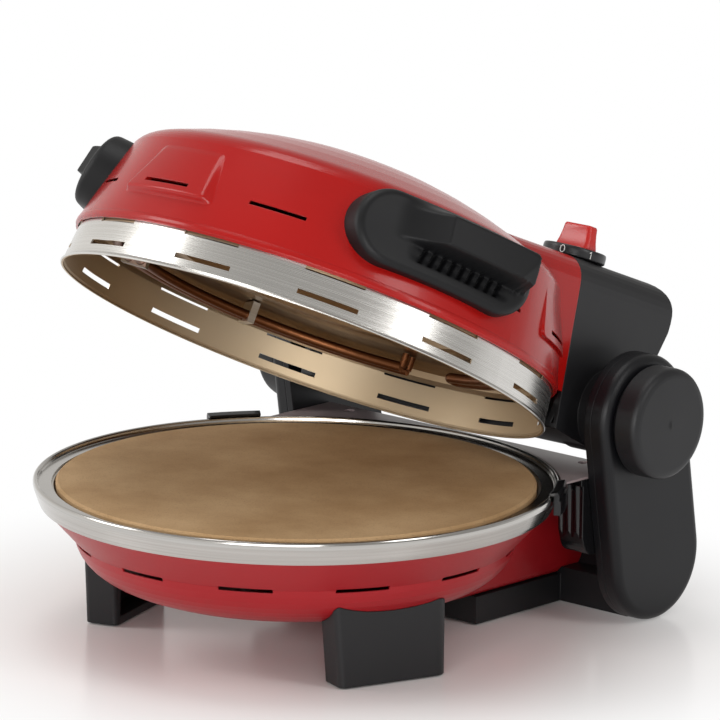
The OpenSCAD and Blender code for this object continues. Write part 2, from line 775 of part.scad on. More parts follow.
module hinge_housing() color("#262628") lid_pose() {
    difference() {
        union() {
            difference() {
                rear_form();
                before_seam(-seat);
                dome_solid(dome_t);
                translate([0, 0, rim_z - 5]) cylinder(r = dome_r + 4, h = foot_band_z + 3 - rim_z + 5);
            }
            both_sides() translate([house_x - 20, hinge_y, hinge_z]) rotate([0, 90, 0])
                cylinder(r = hub_r + 1, h = hub_out - house_x + 20);
        }
        difference() {
            rear_form(house_wall);
            dome_solid(dome_t + house_wall);
            translate([0, 0, rim_z - 5]) cylinder(r = dome_r + 4 + house_wall, h = foot_band_z + 6 - rim_z + 5);
        }
        both_sides() translate([house_x - 30, hinge_y, hinge_z]) rotate([0, 90, 0])
            cylinder(r = pin_r + 4, h = 80);
        on_housing(-12) cylinder(r = 7, h = 20);
    }
}

module hinge_bushes() color("darkgoldenrod") lid_pose() both_sides()
    translate([house_x - 4, hinge_y, hinge_z]) rotate([0, 90, 0])
        difference() {
            cylinder(r = pin_r + 4 - eps, h = hub_out - house_x + 4);
            translate([0, 0, -1]) cylinder(r = pin_r + pin_clear, h = 40);
        }

module timer_body() color("ivory") lid_pose() difference() {
    on_housing(-house_wall - 24) difference() {
        translate([-14, -6, 0]) cube([30, 28, 22]);
        translate([0, 0, -1]) cylinder(r = 3 + pin_clear, h = 40);
    }
    dome_solid(dome_t + house_wall + 1);
}

// Bearing ring for the dial's shaft, set into the housing's top
module dial_collar() color("#1c1c1e") lid_pose() on_housing(-house_wall) difference() {
    cylinder(r = 7 - seat, h = house_wall);
    translate([0, 0, -1]) cylinder(r = 3 + pin_clear, h = house_wall + 2);
}

module dial_disc() color("#202022") lid_pose() on_housing(run) difference() {
    rotate_extrude() polygon(concat([[0, 0], [dial_r - 1, 0], [dial_r, 0.8], [dial_r, dial_t - 2]],
        bend([dial_r - 0.2, dial_t - 1], [dial_r - 0.4, dial_t], [dial_r - 1.6, dial_t], 4), [[0, dial_t]]));
    translate([0, 0, -1]) cylinder(r = 3 + eps, h = dial_t - 2);
}

module dial_grip() color("red") lid_pose() on_housing(run + dial_t) hull() {
    translate([-14, -6, 0]) cube([28, 12, 1]);
    translate([-11, -4.5, dial_grip_h - 1]) cube([22, 9, 1]);
}

module dial_shaft() color("silver") lid_pose() on_housing(-house_wall - 20)
    cylinder(r = 3, h = house_wall + 20 + run + dial_t - 4);

// ---- Nodes ---------------------------------------------------------------------------

base_shell();
base_ring();
lower_pan();
lower_element();
lower_clips();
deck_plate();
rear_beam();
foot_left();
foot_right();
rubber_pads();
base_screws();
tower_left();
tower_right();
tower_cover_left();
tower_cover_right();
pivot_cap_left();
pivot_cap_right();
hinge_pin_left();
hinge_pin_right();
side_clip_left();
side_clip_right();
terminal_block();
cable_gland();
pizza_stone();
lid_shell();
lid_band();
lid_reflector();
upper_element();
upper_clips();
thermostat();
grip_left();
grip_right();
hinge_housing();
hinge_bushes();
timer_body();
dial_collar();
dial_disc();
dial_grip();
dial_shaft();
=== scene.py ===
import math

import bmesh
import bpy
from mathutils import Matrix, Vector


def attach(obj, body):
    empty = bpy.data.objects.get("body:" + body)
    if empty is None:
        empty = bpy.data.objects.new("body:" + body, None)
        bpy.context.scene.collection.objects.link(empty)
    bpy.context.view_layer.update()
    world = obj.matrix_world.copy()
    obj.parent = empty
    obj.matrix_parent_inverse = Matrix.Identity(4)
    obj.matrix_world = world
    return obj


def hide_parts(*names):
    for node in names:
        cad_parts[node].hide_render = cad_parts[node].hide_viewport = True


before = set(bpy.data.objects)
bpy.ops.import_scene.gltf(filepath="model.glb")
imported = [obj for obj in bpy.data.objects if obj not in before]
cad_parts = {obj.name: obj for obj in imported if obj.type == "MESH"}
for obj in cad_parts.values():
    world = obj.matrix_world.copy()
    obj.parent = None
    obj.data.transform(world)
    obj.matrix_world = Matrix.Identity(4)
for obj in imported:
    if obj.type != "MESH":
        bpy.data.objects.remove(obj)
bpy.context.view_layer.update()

# ---- Camera ----------------------------------------------------------------------------
# A long lens four metres off, low in front of the dial's side, turned a little in its mount.
# RING_Y is where the ring's centre lies in the frame, in front of the footprint's middle.
RING_Y = -0.03618
IMAGE_SIDE, SENSOR = 720, 36
azimuth, elevation, roll = math.radians(42.1), math.radians(13.0), math.radians(0.7)
aim = Vector((0.054, RING_Y, 0.1903))
distance = 4.0
focal_pixels = 6294.6

back = Vector((math.sin(azimuth) * math.cos(elevation), -math.cos(azimuth) * math.cos(elevation),
               math.sin(elevation)))
level = Vector((math.cos(azimuth), math.sin(azimuth), 0))
up = back.cross(level)
right = level * math.cos(roll) + up * math.sin(roll)
up = up * math.cos(roll) - level * math.sin(roll)
camera = bpy.data.objects.new("camera", bpy.data.cameras.new("camera"))
camera.data.sensor_width = SENSOR
camera.data.lens = focal_pixels / IMAGE_SIDE * SENSOR
camera.matrix_world = Matrix.Translation(aim + back * distance) @ Matrix(
    (right, up, back)).transposed().to_4x4()
bpy.context.scene.collection.objects.link(camera)
bpy.context.scene.camera = camera
bpy.context.scene.view_settings.view_transform = "Standard"


# ---- Floor and studio ------------------------------------------------------------------
# A satin white sweep under the object: it holds a soft shadow and a faint reflection close
# by, and runs out to plain white further off.
def srgb(text):
    """The linear colour of a hex value, with alpha."""
    parts = [int(text[i:i + 2], 16) / 255 for i in (1, 3, 5)]
    return [c / 12.92 if c <= 0.04045 else ((c + 0.055) / 1.055) ** 2.4 for c in parts] + [1]


def node(tree, kind, sockets=None, **settings):
    """Adds a node with its settings; a socket takes a value, a node or another node's output."""
    made = tree.nodes.new("ShaderNode" + kind)
    for name, value in settings.items():
        setattr(made, name, value)
    for name, value in (sockets or {}).items():
        if isinstance(value, bpy.types.Node):
            value = value.outputs[0]
        if isinstance(value, bpy.types.NodeSocket):
            tree.links.new(value, made.inputs[name])
        else:
            made.inputs[name].default_value = value
    return made


def material(name):
    """An empty material and its node tree."""
    made = bpy.data.materials.new(name)
    made.use_nodes = True
    made.node_tree.nodes.clear()
    return made, made.node_tree


floor_mat, tree = material("white_sweep")
place = node(tree, "TexCoord")
far = node(tree, "VectorMath", {0: place.outputs["Object"]}, operation="LENGTH")
fade = node(tree, "MapRange", {"Value": far.outputs["Value"], "From Min": 0.14, "From Max": 0.37},
            interpolation_type="SMOOTHSTEP")
rays = node(tree, "LightPath")
seen = node(tree, "Math", {0: rays.outputs["Is Camera Ray"], 1: rays.outputs["Is Glossy Ray"]},
            operation="MAXIMUM")
seen = node(tree, "Math", {0: seen, 1: fade}, operation="MULTIPLY")
sheet = node(tree, "BsdfPrincipled", {"Base Color": srgb("#FBF6F3"), "Roughness": 0.2,
                                      "Specular IOR Level": 0.45})
white = node(tree, "Emission", {"Color": srgb("#FFFFFF"), "Strength": 1.0})
node(tree, "OutputMaterial", {"Surface": node(tree, "MixShader", {0: seen, 1: sheet, 2: white})})
floor = bpy.data.objects.new("floor", bpy.data.meshes.new("floor"))
FLOOR_HALF, FLOOR_Z = 9, -0.0002
floor.data.from_pydata([(x * FLOOR_HALF, y * FLOOR_HALF, FLOOR_Z)
                        for x, y in ((-1, -1), (1, -1), (1, 1), (-1, 1))], [], [(0, 1, 2, 3)])
floor.data.materials.append(floor_mat)
bpy.context.scene.collection.objects.link(floor)

# The room: white to the eye, a sweep that greys towards the right and overhead in the metal
world = bpy.data.worlds.new("studio")
world.use_nodes = True
world.node_tree.nodes.clear()
tree = world.node_tree
rays = node(tree, "LightPath")
seen = node(tree, "Math", {0: rays.outputs["Is Camera Ray"],
                           1: rays.outputs["Is Transmission Ray"]}, operation="MAXIMUM")
place = node(tree, "TexCoord")
side = node(tree, "VectorMath", {0: place.outputs["Generated"], 1: (0.5, 0.2, 0.8)},
            operation="DOT_PRODUCT")
grey = node(tree, "MapRange", {"Value": side.outputs["Value"], "From Min": -0.7, "From Max": 0.75,
                               "To Min": 1.0, "To Max": 0.4}, interpolation_type="SMOOTHSTEP")
ambient = node(tree, "Background", {"Color": srgb("#FFFFFF"), "Strength": 0.4})
mirrored = node(tree, "Background", {"Color": srgb("#FFFDFA"), "Strength": grey})
white = node(tree, "Background", {"Color": srgb("#FFFFFF"), "Strength": 1.0})
mixed = node(tree, "MixShader", {0: rays.outputs["Is Glossy Ray"], 1: ambient, 2: mirrored})
mixed = node(tree, "MixShader", {0: seen, 1: mixed, 2: white})
node(tree, "OutputWorld", {"Surface": mixed})
bpy.context.scene.world = world

# Soft boxes: a tall one left, a low wide one in front, an edge light right, a small one above
LAMP_AIM = Vector((0, 0, 0.15))
for name, where, size, power in (
        ("key_left", (-1.5, -1.3, 1.2), (0.7, 1.3), 15),
        ("front", (1.1, -1.7, 0.55), (1.3, 0.6), 18),
        ("rim_right", (1.7, 0.2, 1.2), (0.5, 1.2), 8),
        ("top", (-0.3, 0.0, 2.0), (1.0, 0.8), 9)):
    lamp = bpy.data.objects.new(name, bpy.data.lights.new(name, "AREA"))
    lamp.data.shape = "RECTANGLE"
    lamp.data.size, lamp.data.size_y = size
    lamp.data.energy = power
    lamp.location = where
    lamp.rotation_euler = (LAMP_AIM - Vector(where)).to_track_quat("-Z", "Y").to_euler()
    bpy.context.scene.collection.objects.link(lamp)


# ---- Base bowl -------------------------------------------------------------------------
# Deep-drawn steel bowl with a folded box behind it, in baked red enamel. The coat is thick
# and hard: sharp highlights over a faint orange peel, and a softer edge wherever it turns.
def dress(finish, *names):
    """Gives CAD nodes their material."""
    for name in names:
        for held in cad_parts[name].material_slots:
            held.material = finish


def enamel(name, colour, deep, rough, coat):
    """Baked enamel that drifts between two reds."""
    made, tree = material(name)
    place = node(tree, "TexCoord")
    # Orange peel of about 2 mm, and a slow drift of colour over 80 mm
    peel = node(tree, "TexNoise", {"Vector": place.outputs["Object"], "Scale": 480, "Detail": 1})
    drift = node(tree, "TexNoise", {"Vector": place.outputs["Object"], "Scale": 12, "Detail": 2})
    tint = node(tree, "Mix", {"Factor": drift.outputs["Fac"], "A": srgb(colour), "B": srgb(deep)},
                data_type="RGBA")
    wear = node(tree, "MapRange", {"Value": peel.outputs["Fac"], "To Min": rough - 0.04,
                                   "To Max": rough + 0.04})
    soft = node(tree, "Bevel", {"Radius": 0.0009}, samples=4)
    bump = node(tree, "Bump", {"Height": peel.outputs["Fac"], "Strength": 0.05,
                               "Distance": 0.0003, "Normal": soft})
    skin = node(tree, "BsdfPrincipled", {
        "Base Color": tint.outputs["Result"], "Roughness": wear, "IOR": 1.5,
        "Specular IOR Level": 0.3, "Coat Weight": coat, "Coat Roughness": 0.05, "Normal": bump})
    node(tree, "OutputMaterial", {"Surface": skin})
    return made


dress(enamel("red_enamel_base", "#A5161E", "#98121A", 0.36, 0.08), "base_shell")

# ---- Dome ------------------------------------------------------------------------------
# The lid is drawn from the same sheet, with raised pads, a flared shoulder at the back and
# piercings for the hot air. It has one more coat than the base, so it shines more.
OPEN = math.radians(28.4)
HINGE_Y, HINGE_Z = 174.8, 137.4
HINGE = Vector((0, HINGE_Y / 1000 + RING_Y, HINGE_Z / 1000))
# The wall's curve, as radius and height of the closed lid in mm
WALL = (163.0, 132.1), (157.6, 152.1), (145.8, 188.7)


def on_lid(x, y, z):
    """A point of the closed lid, in mm from the ring's centre, where it stands when open."""
    dy, dz = y - HINGE_Y, z - HINGE_Z
    return HINGE + Vector((x, dy * math.cos(OPEN) + dz * math.sin(OPEN),
                           dz * math.cos(OPEN) - dy * math.sin(OPEN))) / 1000


def wall_radius(z):
    """Radius in mm of the dome's wall at a height of the closed lid."""
    def along(axis):
        first, bend, last = (point[axis] for point in WALL)
        return (1 - t) ** 2 * first + 2 * t * (1 - t) * bend + t * t * last

    low, high = 0.0, 1.0
    for _ in range(24):
        t = (low + high) / 2
        if along(1) < z:
            low = t
        else:
            high = t
    return along(0)


def ease(x, low, high):
    """0 up to low, 1 from high on, and smooth between."""
    t = min(max((x - low) / (high - low), 0.0), 1.0)
    return t * t * (3 - 2 * t)


def piece_of(made, name, finish, sharp, body):
    """The piece that a bmesh makes: smooth, with the edges sharper than an angle kept."""
    held = bpy.data.meshes.new(name)
    made.to_mesh(held)
    made.free()
    held.materials.append(finish)
    for face in held.polygons:
        face.use_smooth = True
    held.set_sharp_from_angle(angle=math.radians(sharp))
    piece = bpy.data.objects.new(name, held)
    bpy.context.scene.collection.objects.link(piece)
    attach(piece, body)
    return piece


dome_enamel = enamel("red_enamel_dome", "#AC110D", "#9A0E0B", 0.24, 0.12)
dress(dome_enamel, "lid_shell")

# The front pad, raised a little more than the solid's, with a long soft slope: a skin over
# the wall, left open over the vent slot and turned in round it
PAD_LOW, PAD_HIGH, PAD_FADE, PAD_RISE = 149.6, 181.1, 38, 5.4
PAD_HALF_LOW, PAD_HALF_HIGH, PAD_SINK = 35, 25, 0.3
SLOT_Z, SLOT_HALF, SLOT_HALF_HIGH, DOME_TURN = 155.4, 19.4, 1.2, math.radians(-4)
SLOT_DEPTH = 0.0045


def pad_height(x, z):
    """How far the pad's skin stands out from the wall."""
    half = PAD_HALF_LOW - (PAD_HALF_LOW - PAD_HALF_HIGH) * (z - PAD_LOW) / (PAD_HIGH - PAD_LOW)
    high = PAD_RISE * min(max(1 - (z - PAD_LOW) / PAD_FADE, 0.0), 1.0)
    high *= ease(half - abs(x), -5, 1) * ease(z - PAD_LOW, -4, 0.8)
    return high * (1 - ease(z, PAD_HIGH - 2, PAD_HIGH + 4)) - PAD_SINK


across = sorted({float(x) for x in range(-42, 43)} | {-SLOT_HALF, SLOT_HALF})
heights = sorted({PAD_LOW - 5 + k for k in range(42)}
                 | {SLOT_Z - SLOT_HALF_HIGH, SLOT_Z + SLOT_HALF_HIGH})
made = bmesh.new()
rows = []
for z in heights:
    row = []
    for x in across:
        r = wall_radius(z) + pad_height(x, z)
        angle = DOME_TURN + math.asin(x / r)
        row.append(made.verts.new(on_lid(r * math.sin(angle), -r * math.cos(angle), z)))
    rows.append(row)
for i in range(len(heights) - 1):
    for j in range(len(across) - 1):
        in_slot = (abs(across[j] + across[j + 1]) < 2 * SLOT_HALF
                   and abs(heights[i] + heights[i + 1] - 2 * SLOT_Z) < 2 * SLOT_HALF_HIGH)
        if not in_slot:
            made.faces.new((rows[i][j], rows[i][j + 1], rows[i + 1][j + 1], rows[i + 1][j]))
for vert in [v for v in made.verts if not v.link_faces]:
    made.verts.remove(vert)
border = {*rows[0], *rows[-1], *(row[0] for row in rows), *(row[-1] for row in rows)}
rim = [e for e in made.edges if e.is_boundary and not border.issuperset(e.verts)]
sunk = bmesh.ops.extrude_edge_only(made, edges=rim)["geom"]
middle = on_lid(0, 0, SLOT_Z)
for vert in (g for g in sunk if isinstance(g, bmesh.types.BMVert)):
    vert.co += (middle - vert.co).normalized() * SLOT_DEPTH
bmesh.ops.recalc_face_normals(made, faces=made.faces)
outer = max(made.faces, key=lambda f: (f.calc_center_median() - middle).length)
if outer.normal.dot(outer.calc_center_median() - middle) < 0:
    bmesh.ops.reverse_faces(made, faces=made.faces)
piece_of(made, "dome_pad_front", dome_enamel, 50, "lid")


# ---- Steel band ------------------------------------------------------------------------
# Stainless strip rolled into a ring and brushed along its length, with two rows of punched
# slots. Its inside is tinted the colour of straw, a painted reflection of the lid's warm inside.
def inward(tree, turn):
    """1 where a face of a round piece looks at its axis and 0 where it looks out, and the
    point in metres from the ring's centre, turned back to the closed lid."""
    place = node(tree, "TexCoord")
    spot = node(tree, "VectorMath", {0: place.outputs["Object"], 1: tuple(HINGE)},
                operation="SUBTRACT")
    spot = node(tree, "VectorRotate", {"Vector": spot, "Angle": turn}, rotation_type="X_AXIS")
    spot = node(tree, "VectorMath", {0: spot, 1: (0, HINGE_Y / 1000, 0)}, operation="ADD")
    face = node(tree, "NewGeometry")
    face = node(tree, "VectorTransform", {0: face.outputs["True Normal"]}, vector_type="NORMAL",
                convert_from="WORLD", convert_to="OBJECT")
    face = node(tree, "VectorRotate", {"Vector": face, "Angle": turn}, rotation_type="X_AXIS")
    flat = node(tree, "VectorMath", {0: face, 1: (1, 1, 0)}, operation="MULTIPLY")
    way = node(tree, "VectorMath", {0: spot, 1: flat}, operation="DOT_PRODUCT")
    return node(tree, "Math", {0: way.outputs["Value"], 1: 0.0}, operation="LESS_THAN"), spot


def brushed(name, colour, light, rough, lines, turn=0.0, inside=None):
    """Metal with fine lines that run round it, so many to the metre, and perhaps an inside tinted
    with a painted reflection. The real lines are about 0.1 mm apart; they are drawn coarser so
    that they show."""
    made, tree = material(name)
    within, spot = inward(tree, turn)
    long = node(tree, "Mapping", {"Vector": spot, "Scale": (5, 5, lines)})
    grain = node(tree, "TexNoise", {"Vector": long, "Scale": 1, "Detail": 3, "Roughness": 0.6})
    shade = node(tree, "MapRange", {"Value": grain.outputs["Fac"], "To Min": rough - 0.07,
                                    "To Max": rough + 0.09})
    tint = node(tree, "Mix", {"Factor": grain.outputs["Fac"], "A": srgb(colour), "B": srgb(light)},
                data_type="RGBA")
    # Faces that look at the axis turn straw-coloured: a painted reflection of the warm inside of
    # the lid, not a colour of the steel.
    if inside:
        cloud = node(tree, "TexNoise", {"Vector": spot, "Scale": 9, "Detail": 2})
        painted_reflection = node(tree, "Mix", {"Factor": cloud.outputs["Fac"], "A": srgb(inside),
                                   "B": srgb("#CBBBA2")}, data_type="RGBA")
        tint = node(tree, "Mix", {"Factor": within, "A": tint.outputs["Result"],
                                  "B": painted_reflection.outputs["Result"]}, data_type="RGBA")
        shade = node(tree, "MapRange", {"Value": within, "To Min": shade, "To Max": 0.5})
    bump = node(tree, "Bump", {"Height": grain.outputs["Fac"], "Strength": 0.12,
                               "Distance": 0.0002})
    steel = node(tree, "BsdfPrincipled", {
        "Base Color": tint.outputs["Result"], "Metallic": 1.0, "Roughness": shade, "Normal": bump})
    node(tree, "OutputMaterial", {"Surface": steel})
    return made


dress(brushed("brushed_stainless", "#BDBAB5", "#E4E2DE", 0.26, 1400, OPEN, "#B09A7B"), "lid_band")

# ---- Ring round the stone --------------------------------------------------------------
# Spun stainless ring with a rolled edge and a ledge for the lid, polished to a near mirror
# and pressed onto the bowl.
dress(brushed("polished_stainless", "#A9A6A1", "#CFCCC8", 0.15, 900), "base_ring")

# ---- Lid's inside ----------------------------------------------------------------------
# Aluminised reflector, spun, in a cloudy tan that turns dark brown in a band along the ring
# where the heating element runs under it; the element hangs from it on spring clips. The pan, pins
# and screws are in plain metals.
ELEMENT_R = 0.130
reflector, tree = material("reflector_dark_track")
_, spot = inward(tree, OPEN)
flat = node(tree, "VectorMath", {0: spot, 1: (1, 1, 0)}, operation="MULTIPLY")
reach = node(tree, "VectorMath", {0: flat}, operation="LENGTH")
away = node(tree, "Math", {0: reach.outputs["Value"], 1: ELEMENT_R}, operation="SUBTRACT")
away = node(tree, "Math", {0: away}, operation="ABSOLUTE")
# Dark brown in a band along the element's ring, fading out between 7 and 17 mm from it.
track = node(tree, "MapRange", {"Value": away, "From Min": 0.007, "From Max": 0.017,
                                "To Min": 1.0, "To Max": 0.0}, interpolation_type="SMOOTHSTEP")
cloud = node(tree, "TexNoise", {"Vector": spot, "Scale": 22, "Detail": 5, "Roughness": 0.62})
tint = node(tree, "Mix", {"Factor": cloud.outputs["Fac"], "A": srgb("#8C745A"),
                          "B": srgb("#BBA688")}, data_type="RGBA")
tint = node(tree, "Mix", {"Factor": track, "A": tint.outputs["Result"], "B": srgb("#4E3421")},
            data_type="RGBA")
shade = node(tree, "MapRange", {"Value": cloud.outputs["Fac"], "To Min": 0.26, "To Max": 0.44})
spin = node(tree, "Mapping", {"Vector": reach.outputs["Value"], "Scale": (900, 1, 1)})
rings = node(tree, "TexNoise", {"Vector": spin, "Scale": 1, "Detail": 1})
bump = node(tree, "Bump", {"Height": rings.outputs["Fac"], "Strength": 0.1, "Distance": 0.0002})
skin = node(tree, "BsdfPrincipled", {"Base Color": tint.outputs["Result"], "Metallic": 0.9,
                                     "Roughness": shade, "Normal": bump})
node(tree, "OutputMaterial", {"Surface": skin})
dress(reflector, "lid_reflector")

dress(brushed("oxidised_sheath", "#5E3A26", "#8A5B3C", 0.38, 300, OPEN), "upper_element",
      "lower_element")
dress(brushed("spring_steel_clip", "#B9B6B0", "#DAD8D3", 0.3, 900, OPEN), "upper_clips",
      "lower_clips")
dress(brushed("thermostat_can", "#BEBEBE", "#DADADA", 0.35, 900, OPEN), "thermostat")
dress(brushed("pan_aluminium", "#BDB8AF", "#D8D4CC", 0.36, 700), "lower_pan")
dress(brushed("zinc_plate", "#8F8F8D", "#B8B8B4", 0.4, 900), "base_screws", "hinge_pin_left",
      "hinge_pin_right", "dial_shaft")
dress(brushed("bush_bronze", "#A4743A", "#C49A5C", 0.32, 900), "hinge_bushes")

# ---- Baking stone ----------------------------------------------------------------------
# Pressed cordierite, fired without a glaze: sandy, pitted, a little toasted by use. It lies
# loose in the ring.
stone, tree = material("fired_cordierite")
place = node(tree, "TexCoord")
toast = node(tree, "TexNoise", {"Vector": place.outputs["Object"], "Scale": 14, "Detail": 4,
                                "Roughness": 0.6})
tint = node(tree, "ValToRGB", {"Fac": toast.outputs["Fac"]})
tint.color_ramp.elements[0].position = 0.3
tint.color_ramp.elements[0].color = srgb("#A98458")
tint.color_ramp.elements[1].position = 0.72
tint.color_ramp.elements[1].color = srgb("#C9A67B")
# Grains of about 1 mm, drawn as 1.5 mm so that they show
grains = node(tree, "TexVoronoi", {"Vector": place.outputs["Object"], "Scale": 650})
dark = node(tree, "MapRange", {"Value": grains.outputs["Distance"], "From Min": 0.12,
                               "From Max": 0.3, "To Min": 0.45, "To Max": 0.0})
speck = node(tree, "Mix", {"Factor": dark, "A": tint.outputs["Color"], "B": srgb("#6E5238")},
             data_type="RGBA")
sand = node(tree, "TexNoise", {"Vector": place.outputs["Object"], "Scale": 900, "Detail": 2})
bump = node(tree, "Bump", {"Height": sand.outputs["Fac"], "Strength": 0.45, "Distance": 0.0004})
skin = node(tree, "BsdfPrincipled", {"Base Color": speck.outputs["Result"], "Roughness": 0.85,
                                     "Normal": bump})
node(tree, "OutputMaterial", {"Surface": skin})
dress(stone, "pizza_stone")


# ---- Black mouldings -------------------------------------------------------------------
# Glass-filled nylon from a spark-eroded mould: charcoal, with a fine grain and a broad soft
# sheen, every edge a little rounded.
def moulded(name, colour, rough, grain_per_m=1500, depth=0.00006, radius=0.0012, level=0.5):
    """Moulded plastic, or a fired or rubber piece, with its grain and rounded edges."""
    made, tree = material(name)
    place = node(tree, "TexCoord")
    # The real grain is about 0.3 mm; it is drawn at twice that
    grain = node(tree, "TexNoise", {"Vector": place.outputs["Object"], "Scale": grain_per_m,
                                    "Detail": 2})
    cloud = node(tree, "TexNoise", {"Vector": place.outputs["Object"], "Scale": 25, "Detail": 3})
    shade = node(tree, "MapRange", {"Value": cloud.outputs["Fac"], "To Min": rough - 0.05,
                                    "To Max": rough + 0.06})
    soft = node(tree, "Bevel", {"Radius": radius}, samples=4)
    bump = node(tree, "Bump", {"Height": grain.outputs["Fac"], "Strength": 0.3,
                               "Distance": depth, "Normal": soft})
    skin = node(tree, "BsdfPrincipled", {
        "Base Color": srgb(colour), "Roughness": shade, "IOR": 1.5, "Specular IOR Level": level,
        "Normal": bump})
    node(tree, "OutputMaterial", {"Surface": skin})
    return made


black_nylon = moulded("charcoal_nylon", "#161618", 0.46, level=0.4)
dress(black_nylon, "rear_beam", "foot_left", "foot_right", "pivot_cap_left",
      "pivot_cap_right", "hinge_housing", "cable_gland")
dress(moulded("tower_nylon", "#0E0E11", 0.4, level=0.3), "tower_left", "tower_right",
      "tower_cover_left", "tower_cover_right")
dress(moulded("polished_abs", "#0E0E10", 0.14, 300, 0.00001), "side_clip_left",
      "side_clip_right", "dial_collar")
dress(moulded("pad_rubber", "#121212", 0.8), "rubber_pads")
dress(moulded("cream_nylon", "#D8D0BC", 0.5), "timer_body")
dress(moulded("steatite", "#E4DFD2", 0.6), "terminal_block")

# ---- Side grips ------------------------------------------------------------------------
# One nylon moulding each, screwed to the dome over its pad: a curved flange, a bar that grows
# out of it in a smooth scoop, and under the bar a finger hollow with nine louvres.

# A grip's face is a height w over its plane, at u along it and v up it, all in mm
GRIP_HALF, GRIP_END = 39.5, 25.5  # the flange: half its straight part, and its end's radius
GRIP_OUT, GRIP_UP, GRIP_TURN, GRIP_TILT = 166.0, 169.2, math.radians(66.2), math.radians(9)
GRIP_REACH = 183.0  # no part of a grip lies further out
FLANGE_SINK, FLANGE_CURVE, FACE_LEAN, FLANGE_ROUND = 3.8, 0.0013, 0.09, 5
BAR_RISE, BAR_CURVE, SCOOP_FROM, SCOOP_LONG = 19.3, 0.0004, -42, 31
HOLLOW = 1.2
LOUVRES, LOUVRE_PITCH, LOUVRE_DEPTH = 9, 7.05, 3.2
LOUVRE_U, LOUVRE_V, LOUVRE_SLANT = -18, -13, 0.315  # where the first one starts
SIDE_STEPS, END_STEPS = 132, 26


def grip_height(u, v, edge):
    """Height of the moulding's face over the grip's plane; edge is the distance to its rim."""
    high = -FLANGE_SINK - FLANGE_CURVE * u * u - FACE_LEAN * v
    bar = BAR_RISE + BAR_CURVE * u * u
    bar *= min(max((u - SCOOP_FROM) / SCOOP_LONG, 0.0), 1.0) ** 2 * (1 - ease(u, 55, 60.5))
    bar *= ease(v, -6.5, -3.0) * (1 - ease(v, 15, 24))
    hollow = HOLLOW * ease(u, -30, -18) * (1 - ease(u, 44, 52))
    hollow *= ease(v, -18, -12) * (1 - ease(v, -6, -3))
    high += bar - hollow
    along = (u - LOUVRE_U - LOUVRE_SLANT * (v - LOUVRE_V)) / LOUVRE_PITCH
    slot = round(along)
    if 0 <= slot < LOUVRES:
        off = abs(along - slot) * LOUVRE_PITCH
        cut = LOUVRE_DEPTH * (1 - ease(off, 1.0, 1.7))
        high -= cut * ease(v, -16.5, -15.2) * (1 - ease(v, -5.5, -4.3))
    if edge < FLANGE_ROUND:
        high -= FLANGE_ROUND - math.sqrt(max(FLANGE_ROUND ** 2 - (FLANGE_ROUND - edge) ** 2, 0))
    flat = (GRIP_REACH - u * math.cos(GRIP_TURN)) / math.sin(GRIP_TURN) - GRIP_OUT
    return min(high, (flat + v * math.sin(GRIP_TILT)) / math.cos(GRIP_TILT))


def grip_point(u, v, w, side):
    """Where a point of the grip lies on the closed lid."""
    r = GRIP_OUT + w * math.cos(GRIP_TILT) - v * math.sin(GRIP_TILT)
    z = GRIP_UP + v * math.cos(GRIP_TILT) + w * math.sin(GRIP_TILT)
    x = r * math.sin(GRIP_TURN) + u * math.cos(GRIP_TURN)
    y = -r * math.cos(GRIP_TURN) + u * math.sin(GRIP_TURN)
    return side * x, y, z


def down_to_wall(u, v, w, side):
    """The height at which the skirt under a point of the rim meets the dome."""
    while w > -40:
        x, y, z = grip_point(u, v, w, side)
        if math.hypot(x, y) < wall_radius(z) + 0.1:
            break
        w -= 0.5
    return w


def grip_mesh(side):
    """Rings from the skirt's foot over the rim to the middle line; side is 1 or -1."""
    rim = []
    for way in (-1, 1):
        rim += [(way * (GRIP_HALF - 2 * GRIP_HALF * i / SIDE_STEPS), way * math.pi / 2)
                for i in range(SIDE_STEPS)]
        rim += [(-way * GRIP_HALF, way * math.pi / 2 + math.pi * i / END_STEPS)
                for i in range(END_STEPS)]
    made = bmesh.new()
    rings = []
    for edge in (None, 0, 0.25, 0.7, 1.4, 2.3, 3.4, *(4.6 + 0.55 * k for k in range(38)),
                 GRIP_END):
        ring = []
        for middle, turn in rim:
            reach = GRIP_END - (edge or 0)
            u, v = middle + reach * math.cos(turn), reach * math.sin(turn)
            w = grip_height(u, v, edge or 0)
            if edge is None:
                w = down_to_wall(u, v, w, side)
            ring.append(made.verts.new(on_lid(*grip_point(u, v, w, side))))
        rings.append(ring)
    for outer, inner in zip(rings, rings[1:]):
        for i in range(len(rim)):
            j = (i + 1) % len(rim)
            corners = (outer[i], outer[j], inner[j], inner[i])
            made.faces.new(corners if side > 0 else corners[::-1])
    bmesh.ops.remove_doubles(made, verts=rings[-1], dist=0.00001)
    made.normal_update()
    return made


grip_nylon = moulded("grip_nylon", "#0A0A0C", 0.48, 1300, 0.00006, level=0.3)
for name, side in (("right", 1), ("left", -1)):
    grip = piece_of(grip_mesh(side), "grip_moulding_" + name, grip_nylon, 48, "lid")
    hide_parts("grip_" + name)

# ---- Deck plate ------------------------------------------------------------------------
# Folded sheet behind the ring, screwed down over the box, in a warm grey satin paint that
# mirrors a little.
dress(moulded("deck_paint", "#8D7E7E", 0.3, 700, 0.00003, 0.0004, 0.8), "deck_plate")

# ---- Dial ------------------------------------------------------------------------------
# Black ABS disc with its figures printed in white on the rim, and a red grip pressed in. The
# shaft stands square to the housing's sloping top.
DIAL_R, DIAL_SLOPE = 21.0, 0.13
DIAL_LEAN = math.atan(DIAL_SLOPE)
DIAL_FOOT = (80.0, 131.0, 230.0 - DIAL_SLOPE * 58.0)
FIGURE_WIRE, FIGURE_HIGH = 0.00034, 3.9
NOUGHT_AT, NOUGHT_WIDE, NOUGHT_TALL, NOUGHT_POINTS = 16, 4.2, 2.3, 20
ONE_AT, ONE_TALL = 69.6, 2.3


